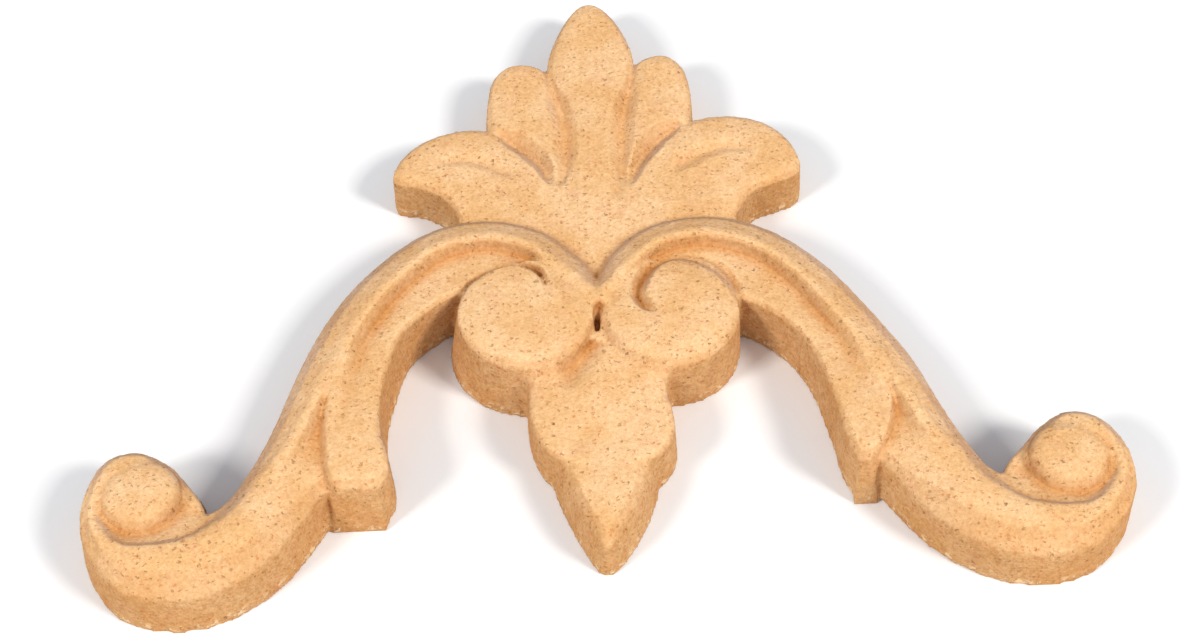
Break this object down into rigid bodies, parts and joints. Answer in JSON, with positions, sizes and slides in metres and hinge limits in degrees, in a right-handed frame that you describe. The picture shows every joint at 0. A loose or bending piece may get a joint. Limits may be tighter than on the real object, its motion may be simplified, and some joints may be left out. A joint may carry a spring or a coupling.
{
  "type": "wood applique",
  "caption": "Flat-backed carved applique: mirrored scroll arms curling into volutes, with a palmette above and a pointed drop leaf below.",
  "frame": {"origin": "on the flat back, on the middle axis, level with the pair of volutes", "axes": "+Z out of the back towards the carved front, +Y up the palmette, +X to the right when the front is seen upright"},
  "size_m": [0.0909, 0.0704, 0.0066],
  "materials": {
    "wood_composition": "matte, unfinished pressed wood fibre"
  },
  "bodies": {
    "root": {"applique": "wood_composition"}
  },
  "joints": []
}
